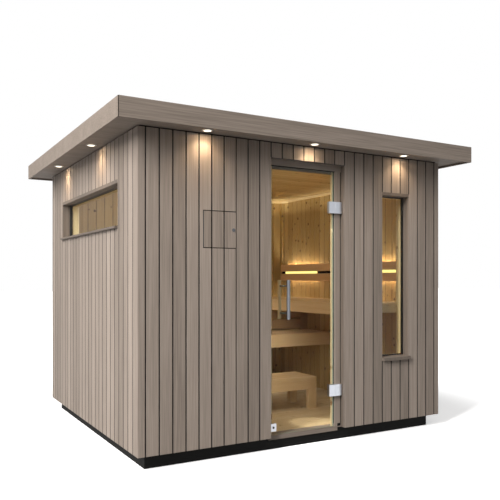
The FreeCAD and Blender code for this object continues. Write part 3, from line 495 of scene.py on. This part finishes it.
def corner_board(mesh, side_x, side_y, reach_x, reach_y, value):
    """Corner of the cladding: two legs in one, so that no joint shows."""
    outline = [(WALL_X, WALL_Y), (reach_x, WALL_Y), (reach_x, CORE_Y), (CORE_X, CORE_Y),
               (CORE_X, reach_y), (WALL_X, reach_y)]
    corners = plate(mesh, [(side_x * x, side_y * y) for x, y in outline], "xy", WALL_FOOT,
                    CLADDING_TOP, value, CLADDING_EDGE)
    # The legs' hidden sides, deep in the gaps, get painted shade.
    layer = mesh.verts.layers.float["edge"]
    for vertex in corners:
        x, y = abs(vertex.co.x / MM), abs(vertex.co.y / MM)
        vertex[layer] = float(x < WALL_X - SKIN and y < WALL_Y - SKIN)


def clad_walls():
    shade = random.Random(21)
    heights = (WALL_FOOT, CLADDING_TOP)
    window = widened(FRONT_WINDOW, 0, FRONT_SILL, HEAD_STRIP)
    slit = widened(LEFT_WINDOW, 0, LEFT_SILL, HEAD_STRIP)
    corner_x = FRONT_GAPS[-1] + BOARD_GAP / 2
    for side_y, name, holes, last_gap in ((-1, "front", (DOOR, HATCH, window), -SIDE_GAPS[0]),
                                          (1, "back", (), SIDE_GAPS[-1])):
        mesh = start()
        for side_x in (-1, 1):
            corner_board(mesh, side_x, side_y, corner_x, last_gap + BOARD_GAP / 2,
                         0.55 - 0.2 * shade.random())
        depth = sorted((side_y * WALL_Y, side_y * CORE_Y))
        sheathe(mesh, "xz", heights, depth, between(FRONT_GAPS), holes, shade, CLADDING_EDGE,
                BOARD_GAP)
        piece(mesh, f"{name}_cladding_boards", stained["z"],
              replaces=(f"{name}_cladding",))
    for side_x, name, holes in ((-1, "left", (slit,)), (1, "right", ())):
        mesh = start()
        depth = sorted((side_x * WALL_X, side_x * CORE_X))
        sheathe(mesh, "yz", heights, depth, between(SIDE_GAPS), holes, shade, CLADDING_EDGE,
                BOARD_GAP)
        piece(mesh, f"{name}_cladding_boards", stained["z"],
              replaces=(f"{name}_cladding",))


def hatch_boards():
    """The hatch carries the wall's boards on a thin black back board."""
    shade = random.Random(5)
    left, right, foot, head = HATCH_PANEL
    gaps = [g for g in FRONT_GAPS if left < g < right]
    board_back, panel_back = -WALL_Y + 10, -WALL_Y + 15
    mesh = start()
    for xs in between([left - BOARD_GAP / 2, *gaps, right + BOARD_GAP / 2]):
        corners = board(mesh, xs, (-WALL_Y, board_back - 0.1), (foot, head),
                        0.1 + 0.3 * shade.random(), CLADDING_EDGE)
        # Their sawn edges get painted shade.
        mark_groove_shade(mesh, corners, "xz", -WALL_Y)
    piece(mesh, "hatch_boards", stained["z"], "hatch", ("hatch_panel",))
    mesh = start()
    board(mesh, (left, right), (board_back, panel_back), (foot, head), SAME, 0.5)
    piece(mesh, "hatch_back_board", weather_sheet, "hatch")


# Roof

def roof_boards():
    """Two laps of the membrane, and black strips behind the mitre gaps of the fascia as painted
    shade.
    """
    lap, mesh = 40, start()
    for y in (-DECK_Y / 3, DECK_Y / 3):
        board(mesh, (2 - DECK_X, DECK_X - 2), (y - lap, y + lap),
              (SHEET_TOP + 0.2, SHEET_TOP + 2), SAME, 0.4)
    piece(mesh, "roof_laps", membrane)
    mesh = start()
    for side_x in (-1, 1):
        for side_y in (-1, 1):
            xs, ys = (sorted((side * (eave - 3), side * (eave - 13)))
                      for side, eave in ((side_x, EAVE_X), (side_y, EAVE_Y)))
            board(mesh, xs, ys, (FASCIA_FOOT + 1, FASCIA_TOP - 1), SAME, 0)
    piece(mesh, "fascia_corner_shade_strips", weather_sheet)


# Room

def spread(low, high, pitch):
    """Ranges of equal boards that fill a width at about the given pitch."""
    count = max(1, round((high - low) / pitch))
    step = (high - low) / count
    return [(low + i * step + JOINT / 2, low + (i + 1) * step - JOINT / 2)
            for i in range(count)]


def room_boards():
    """Narrow panelling, ceiling and floor boards with small bevels between them.

    The panelling starts anew beside each opening.
    """
    shade = random.Random(8)
    window = widened(FRONT_WINDOW, TRIM, TRIM, TRIM)
    slit = widened(LEFT_WINDOW, TRIM, TRIM, TRIM)
    mesh = start()
    for plane, depth, stops, holes in (
            ("xz", (-SLEEVE_Y, -ROOM_Y), (-SLEEVE_X, *DOOR[:2], *window[:2], SLEEVE_X),
             (DOOR, window)),
            ("xz", (ROOM_Y, SLEEVE_Y), (-SLEEVE_X, SLEEVE_X), ()),
            ("yz", (-SLEEVE_X, -ROOM_X), (-ROOM_Y, *slit[:2], ROOM_Y), (slit,)),
            ("yz", (ROOM_X, SLEEVE_X), (-ROOM_Y, ROOM_Y), ())):
        ranges = [r for ends in zip(stops, stops[1:]) for r in spread(*ends, ROOM_BOARD)]
        sheathe(mesh, plane, (FLOOR_TOP, CEILING), depth, ranges, holes, shade, ROOM_BEVEL)
    piece(mesh, "panelling_boards", panelling["z"], replaces=("wall_lining",))
    mesh = start()
    for ys in spread(-SLEEVE_Y, SLEEVE_Y, ROOM_BOARD):
        corners = board(mesh, (-SLEEVE_X, SLEEVE_X), ys, (CEILING, CEILING_TOP),
                        shade.random(), ROOM_BEVEL)
        # Their sawn edges get painted shade.
        mark_groove_shade(mesh, corners, "xy", CEILING)
    piece(mesh, "ceiling_boards", panelling["x"], replaces=("ceiling",))
    mesh = start()
    for ys in spread(-SLEEVE_Y, SLEEVE_Y, FLOOR_BOARD):
        board(mesh, (-SLEEVE_X, SLEEVE_X), ys, (FLOOR_FOOT, FLOOR_TOP), shade.random(), 1.2)
    piece(mesh, "floor_boards", planks, replaces=("floor",))


def window_timber():
    """Casing outside the black frame, pale reveal inside it, head strip and sill."""
    shade = random.Random(14)
    outside, inside, sills = start(), start(), start()
    for window, along, wall, drop in ((FRONT_WINDOW, "x", WALL_Y, FRONT_SILL),
                                      (LEFT_WINDOW, "y", WALL_X, LEFT_SILL)):
        low, high, sill, head = window
        parts = [(mesh, (front - wall, rear - wall), us, zs)
                 for mesh, front, rear in ((outside, *CASING), (inside, *REVEAL))
                 for us, zs in (((low - TRIM, low), (sill - TRIM, head + TRIM)),
                                ((high, high + TRIM), (sill - TRIM, head + TRIM)),
                                ((low, high), (head, head + TRIM)),
                                ((low, high), (sill - TRIM, sill)))]
        parts.append((outside, (-wall, CASING[0] - wall), (low, high), (head, head + HEAD_STRIP)))
        for mesh, depth, us, zs in parts:
            board(mesh, *lying(along, us, depth), zs, shade.random(), CLADDING_EDGE)
        nose, rear = -SILL_NOSE - wall, CASING[0] - wall
        outline = [(nose, sill - drop), (rear, sill - drop), (rear, sill), (nose, sill - 4)]
        plate(sills, outline, "yz" if along == "x" else "xz", low, high, shade.random(), 1.0)
    # Casings and sills take the stain darkened as painted shade.
    piece(outside, "window_casing_boards", shaded_casing_stain,
          replaces=("window_casings",))
    piece(inside, "window_reveal_boards", trim_spruce["z"],
          replaces=("window_reveals",))
    piece(sills, "window_sill_boards", shaded_casing_stain, replaces=("window_sills",))


def doorway_timber():
    """Stained posts and head outside, bare stop boards behind the glass, rubber seals and rubber
    strips of painted shade.
    """
    jamb = DOOR[1]
    heights = (FLOOR_TOP, HEAD_FOOT)
    posts, stops, seals, head = start(), start(), start(), start()
    notched = [(POST_FACE, FLOOR_TOP), (NOTCH_SIDE, FLOOR_TOP), (NOTCH_SIDE, NOTCH_TOP),
               (POST_SIDE, NOTCH_TOP), (POST_SIDE, HEAD_FOOT), (POST_FACE, HEAD_FOOT)]
    plate(posts, notched, "xz", FRAME_Y, STOP_FRONT, 0.6, CLADDING_EDGE)
    board(posts, (-POST_SIDE, -LOCK_FACE), (FRAME_Y, STOP_FRONT), heights, 0.6,
          CLADDING_EDGE)
    piece(posts, "door_posts", stained["z"],
          replaces=("hinge_side_jamb", "lock_side_jamb"))
    for side, stop in ((1, HINGE_STOP), (-1, LOCK_STOP)):
        outline = [(stop, STOP_FRONT), (jamb, STOP_FRONT), (jamb, -ROOM_Y), (LINER, -ROOM_Y),
                   (LINER, STOP_BACK), (stop, STOP_BACK)]
        plate(stops, [(side * x, y) for x, y in outline], "xy", *heights, 0.75, CLADDING_EDGE)
    piece(stops, "door_stops", trim_spruce["z"])
    # Black rubber beside the leaf (seal), behind the hinge post (painted shade), above the leaf
    # (seal) and behind the post's notch (painted shade)
    for xs, ys, zs in (((284, 290), (-1206, -1195.5), (NOTCH_TOP, 2184)),
                       ((342.3, 349.7), (-1213, -1195.2), heights),
                       ((-341, 290), (-1216.6, -1196), (2179.5, 2182.5)),
                       ((314.5, 341), (-1212, -1195.5), (110.5, 133))):
        board(seals, xs, ys, zs, SAME, 0.4)
    piece(seals, "door_seals_and_shade_strips", rubber)
    board(head, (-jamb, jamb), (FRAME_Y, -ROOM_Y), (HEAD_FOOT, DOOR[3]), 0.4, CLADDING_EDGE)
    board(head, (-LOCK_STOP, HINGE_STOP), (STOP_FRONT, STOP_BACK), (HEAD_STOP, HEAD_FOOT),
          0.35, CLADDING_EDGE)
    piece(head, "door_head_board", stained["x"], replaces=("door_head",))
    keyhole = start()
    # A black disc where the keyhole opens: painted shade for its dark hollow.
    disc(keyhole, (-303, -1224.9, 171), 9, 1.8, Matrix.Rotation(math.pi / 2, 4, "X"))
    piece(keyhole, "lock_keyhole", black_metal, "door")


# Benches, stool and backrests

def bench(name, along, ends, front, rear, top, face, node):
    """Slats over cross battens behind a front board, as in the solids."""
    shade = random.Random(len(name))
    slats, battens = start(), start()
    inside = front + SLAT
    width = (rear - inside - SLATS * SLAT_GAP) / SLATS
    board(slats, *lying(along, ends, (front, inside)), (top - face, top), shade.random(),
          SLAT_EDGE)
    for index in range(SLATS):
        low = inside + SLAT_GAP + index * (width + SLAT_GAP)
        board(slats, *lying(along, ends, (low, low + width)), (top - SLAT, top),
              shade.random(), SLAT_EDGE)
    step = (ends[1] - ends[0] - BATTEN) / (BATTENS - 1)
    for index in range(BATTENS):
        low = ends[0] + index * step
        board(battens, *lying(along, (low, low + BATTEN), (inside, rear)),
              (top - BATTEN_FOOT, top - SLAT), shade.random(), SLAT_EDGE)
    cross = "y" if along == "x" else "x"
    piece(slats, f"{name}_boards", bench_timber[along], replaces=(node,))
    piece(battens, f"{name}_battens", bench_timber[cross])


def benches():
    back_front, right_front = ROOM_Y - BENCH_DEPTH, ROOM_X - BENCH_DEPTH
    bench("back_bench", "x", (-ROOM_X, ROOM_X), back_front, ROOM_Y, BENCH_TOP, BENCH_FACE,
          "upper_bench_back")
    bench("right_bench", "y", (-ROOM_Y, back_front), right_front, ROOM_X, BENCH_TOP,
          BENCH_FACE, "upper_bench_right")
    bench("low_bench", "x", (-ROOM_X, ROOM_X), *LOW_BENCH_DEPTH, LOW_BENCH_TOP,
          LOW_BENCH_FACE, "lower_bench")


def bench_riser(shade):
    """Two long boards between end boards, from the lower bench to the upper one."""
    mesh = start()
    depth, end, width, gap = (536, 556), 1145, 105.5, 15
    foot, head = LOW_BENCH_TOP, BENCH_TOP - BENCH_FACE
    for xs in ((-ROOM_X, -end), (end, ROOM_X)):
        board(mesh, xs, depth, (foot, head), shade.random(), RAIL_EDGE)
    for low in (foot + gap, foot + 2 * gap + width):
        board(mesh, (-end, end), depth, (low, low + width), shade.random(), RAIL_EDGE)
    # The darker alder is painted shade from the upper bench.
    piece(mesh, "bench_riser_boards", shaded_riser_alder, replaces=("bench_riser",))


def step_stool(shade):
    """Four slats on a frame of rails with four legs."""
    left, right, near, far, top = 0, 600, -532, -170, 403
    slats, rail, leg_width, leg_depth = 4, 22.4, 88, 44
    rails = (291, top - SLAT)
    mesh, legs = start(), start()
    width = (far - near - (slats - 1) * SLAT_GAP) / slats
    for index in range(slats):
        low = near + index * (width + SLAT_GAP)
        board(mesh, (left, right), (low, low + width), (top - SLAT, top), shade.random(),
              SLAT_EDGE)
    for ys in ((near, near + rail), (far - rail, far)):
        board(mesh, (left, right), ys, rails, shade.random(), RAIL_EDGE)
    for xs in ((left, left + rail), (right - rail, right)):
        board(mesh, xs, (near + rail, far - rail), rails, shade.random(), RAIL_EDGE)
    piece(mesh, "stool_boards", bench_timber["x"], replaces=("step_stool",))
    for x in (left, right - leg_width):
        for y in (near, far - leg_depth):
            board(legs, (x, x + leg_width), (y, y + leg_depth), (FLOOR_TOP, rails[0]),
                  shade.random(), SLAT_EDGE)
    piece(legs, "stool_legs", bench_timber["z"])


def backrests(shade):
    """Two boards on three spacers along the right wall, and the same along the back wall."""
    front, back, spacer, rest_end = 60, 40, 45, 28
    rests, spacers = {"x": start(), "y": start()}, start()
    for along, wall, low_end, high_end in (("y", ROOM_X, -1046, 1003), ("x", ROOM_Y, -1104, 1104)):
        for zs in (REST_LOW, REST_HIGH):
            board(rests[along], *lying(along, (low_end, high_end), (wall - front, wall - back)),
                  zs, shade.random(), SLAT_EDGE)
        step = (high_end - low_end - spacer - rest_end) / 2
        for index in range(3):
            low = low_end + index * step
            board(spacers, *lying(along, (low, low + spacer), (wall - back, wall)),
                  (REST_LOW[0], REST_HIGH[1]), shade.random(), RAIL_EDGE)
    piece(rests["y"], "right_backrest_boards", rest_timber["y"],
          replaces=("backrests",))
    piece(rests["x"], "back_backrest_boards", rest_timber["x"])
    piece(spacers, "backrest_spacers", rest_timber["z"])


def strip_gap_shade_sheets():
    """Black sheets between the right wall's backrest boards, beside the light strips, as painted
    shade.
    """
    mesh = start()
    for ys in ((-380, 287), (909, 1000)):
        board(mesh, (1203, 1206), ys, (1367, 1396), SAME, 0)
    piece(mesh, "strip_gap_shade_sheets", weather_sheet)


def lamp_lenses():
    mesh = start()
    for x, y in SPOTS:
        disc(mesh, (x, y, SOFFIT - 2.4), 27, 2.8, Matrix.Identity(4))
    piece(mesh, "lamp_lenses", lens_glow)


clad_walls()
hatch_boards()
roof_boards()
room_boards()
window_timber()
doorway_timber()
benches()
fitting_shade = random.Random(3)
bench_riser(fitting_shade)
step_stool(fitting_shade)
backrests(fitting_shade)
strip_gap_shade_sheets()
lamp_lenses()

# Solids that show as they are, with the finish of each

FINISHES = {
    black_timber: ("plinth",),
    weather_sheet: ("front_wall_left", "front_wall_right", "front_wall_over_door", "left_wall",
                    "right_wall", "back_wall"),
    stained["x"]: ("fascia", "soffit", "door_threshold"),
    # The door casing takes the stain darkened as painted shade.
    shaded_casing_stain: ("door_casing",),
    panelling["z"]: ("corner_battens",),
    trim_spruce["y"]: ("ceiling_cove",),
    trim_spruce["z"]: ("inside_handle",),
    roof_timber: ("roof_deck",),
    membrane: ("roof_sheet",),
    black_metal: ("window_sashes", "hatch_hinge"),
    lamp_metal: ("soffit_spotlights",),
    clear_glass: ("door_glass",),
    double_pane: ("window_panes",),
    satin_chrome: ("leaf_hinges", "frame_hinges", "door_lock"),
    brushed_steel: ("door_handle",),
    dark_steel: ("hatch_lock",),
    strip_glow: ("light_strips",),
}
for finish, names in FINISHES.items():
    for name in names:
        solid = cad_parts[name]
        solid.data.materials.clear()
        solid.data.materials.append(finish)


# Studio: white to the eye, dimmer for the light that it sends back

def seen_directly(tree):
    """One for what the eye meets straight, in a mirror or through glass, else nought."""
    path = add(tree, "ShaderNodeLightPath").outputs
    seen = add(tree, "ShaderNodeMath", {0: path["Is Camera Ray"], 1: path["Is Glossy Ray"]},
               operation="MAXIMUM").outputs[0]
    return add(tree, "ShaderNodeMath", {0: seen, 1: path["Is Transmission Ray"]},
               operation="MAXIMUM").outputs[0]


def studio_floor():
    """White floor that keeps the cabin's shadow; its glow rises away from the cabin."""
    rise_from, rise_to = 2.2, 3.4
    material, tree = new_material("studio_floor")
    seen = seen_directly(tree)
    place = add(tree, "ShaderNodeTexCoord").outputs["Object"]
    away = add(tree, "ShaderNodeVectorMath", {0: place}, operation="LENGTH").outputs["Value"]
    rise = add(tree, "ShaderNodeMapRange",
               {0: away, 1: rise_from, 2: rise_to, 3: FLOOR_LIFT, 4: FLOOR_WHITE},
               interpolation_type="SMOOTHSTEP").outputs[0]
    lift = add(tree, "ShaderNodeMath", {0: seen, 1: rise}, operation="MULTIPLY").outputs[0]
    paint = add(tree, "ShaderNodeMix", {0: seen, 6: linear("5C5C5C"), 7: linear("FFFFFF")},
                data_type="RGBA").outputs[2]
    diffuse = add(tree, "ShaderNodeBsdfDiffuse", {"Color": paint}).outputs[0]
    glow = add(tree, "ShaderNodeEmission", {"Color": linear("FFFFFF"), "Strength": lift})
    surface(tree, add(tree, "ShaderNodeAddShader", {0: diffuse, 1: glow.outputs[0]}).outputs[0])
    mesh = bmesh.new()
    bmesh.ops.create_grid(mesh, x_segments=1, y_segments=1, size=60.0)
    data = bpy.data.meshes.new("studio_floor")
    mesh.to_mesh(data)
    mesh.free()
    data.materials.append(material)
    floor = bpy.data.objects.new("studio_floor", data)
    bpy.context.scene.collection.objects.link(floor)


def studio_world():
    world = bpy.data.worlds.new("studio")
    bpy.context.scene.world = world
    world.use_nodes = True
    tree = world.node_tree
    tree.nodes.clear()
    strength = add(tree, "ShaderNodeMapRange",
                   {0: seen_directly(tree), 3: AMBIENT, 4: 1.0}).outputs[0]
    shell = add(tree, "ShaderNodeBackground", {"Color": linear("FFFFFF"), "Strength": strength})
    add(tree, "ShaderNodeOutputWorld", {"Surface": shell.outputs[0]})


def lamp(name, kind, place, aim, colour, energy, **settings):
    """Lamp at a place in metres, aimed at another."""
    light = bpy.data.lights.new(name, kind)
    light.color = linear(colour)[:3]
    light.energy = energy
    for key, value in settings.items():
        setattr(light, key, value)
    holder = bpy.data.objects.new(name, light)
    holder.location = place
    holder.rotation_euler = (Vector(aim) - Vector(place)).to_track_quat("-Z", "Y").to_euler()
    holder.visible_camera = False
    bpy.context.scene.collection.objects.link(holder)


def panel(name, place, aim, colour, energy, size, size_y, spread_angle=180):
    """Rectangular lamp; a small spread keeps its light in a narrow cone."""
    lamp(name, "AREA", place, aim, colour, energy, shape="RECTANGLE", size=size, size_y=size_y,
         spread=math.radians(spread_angle))


def spot(name, place, aim, colour, energy, cone, blend, radius):
    """Round spotlight; cone is its full angle, blend the soft share of its rim."""
    lamp(name, "SPOT", place, aim, colour, energy, spot_size=math.radians(cone),
         spot_blend=blend, shadow_soft_size=radius)


studio_floor()
studio_world()

# Daylight: a large lamp high on the left, and a faint wide sun nearer the front
panel("studio_key", (-10.9, -6.0, 8.8), (0, -0.3, 1.0), DAYLIGHT, 2800, 1.8, 9.0)
lamp("studio_fill", "SUN", (-3.6869, -4.3939, 8.1915), (0, 0, 0), DAYLIGHT, 0.35,
     angle=math.radians(30))

# Each spotlight of the eave: a pool of light down the wall and a halo on the soffit
for index, (x, y) in enumerate(SPOTS, 1):
    place = (x * MM, y * MM, (SOFFIT - 12) * MM)
    below = (place[0], place[1], 0)
    lamp(f"eave_lamp_{index}", "AREA", place, below, LAMPLIGHT, 0.9, shape="DISK", size=0.05,
         spread=math.radians(120))
    spot(f"eave_halo_{index}", place, below, LAMPLIGHT, 0.75, 176, 0.2, 0.02)

# The room: an even warm light, then what the photo shows brighter through the door and
# the windows, namely the benches, the stool, the floor by the door and the far corner
panel("room_lamp", (-0.5, -0.15, 2.15), (-0.25, 0.3, 0.0), WARM, 7.6, 1.4, 1.6)
panel("ceiling_lamp", (0.1, 0.2, 1.45), (0.2, 0.2, 2.2), WARM, 1.6, 1.2, 1.2)
panel("upper_door_lamp", (-0.2, -0.98, 1.9), (0.1, 0.8, 0.6), WARM, 3.4, 1.6, 0.5)
panel("lower_door_lamp", (-0.25, -1.0, 1.25), (0.2, -0.2, 0.3), WARM, 0.3, 0.6, 0.2, 90)
panel("low_bench_lamp", (-0.25, -1.0, 1.25), (0.15, 0.1, 0.68), WARM, 1.9, 0.6, 0.2, 55)
panel("stool_lamp", (-0.25, -1.05, 0.45), (0.3, -0.5, 0.3), WARM, 0.2, 0.3, 0.1, 60)
spot("floor_wedge_lamp", (0.24, -1.05, 1.9), (0.22, -0.99, 0.11), WARM, 60.0, 14, 0.5, 0.02)
panel("left_window_lamp", (-0.9, 0.35, 2.1), (-1.0, 0.9, 1.2), WARM, 2.0, 0.5, 0.8)
spot("corner_lamp", (1.07, 0.93, 1.60), (1.15, 1.01, 2.2), WARM, 14.0, 24, 0.4, 0.01)
panel("cove_lamp", (1.16, 0.1, 2.0), (1.235, 0.1, 2.23), WARM, 0.35, 1.9, 0.05, 60)

# The light strips, which send more light up the wall than down
for index, y in enumerate((-0.690, 0.598)):
    for turn, z, energy in ((1, 1.40, 2.0), (-1, 1.36, 1.0)):
        panel(f"strip_lamp_{index}_{turn}", (1.222, y, z), (1.235, y, z + turn), WARM, energy,
              0.6, 0.03)

# Camera: level, with the lens shifted so that uprights stay upright

camera_data = bpy.data.cameras.new("camera")
camera_data.lens = 45.55
camera_data.sensor_width = 36.0
camera_data.shift_x = -0.0026
camera_data.shift_y = 0.0570
camera_data.clip_start, camera_data.clip_end = 0.05, 200
camera = bpy.data.objects.new("camera", camera_data)
camera.location = (-2.8630, -5.3349, 1.3134)
camera.rotation_euler = (math.radians(90), 0, math.radians(-29.90))
bpy.context.scene.collection.objects.link(camera)
bpy.context.scene.camera = camera
bpy.context.scene.view_settings.view_transform = "Standard"
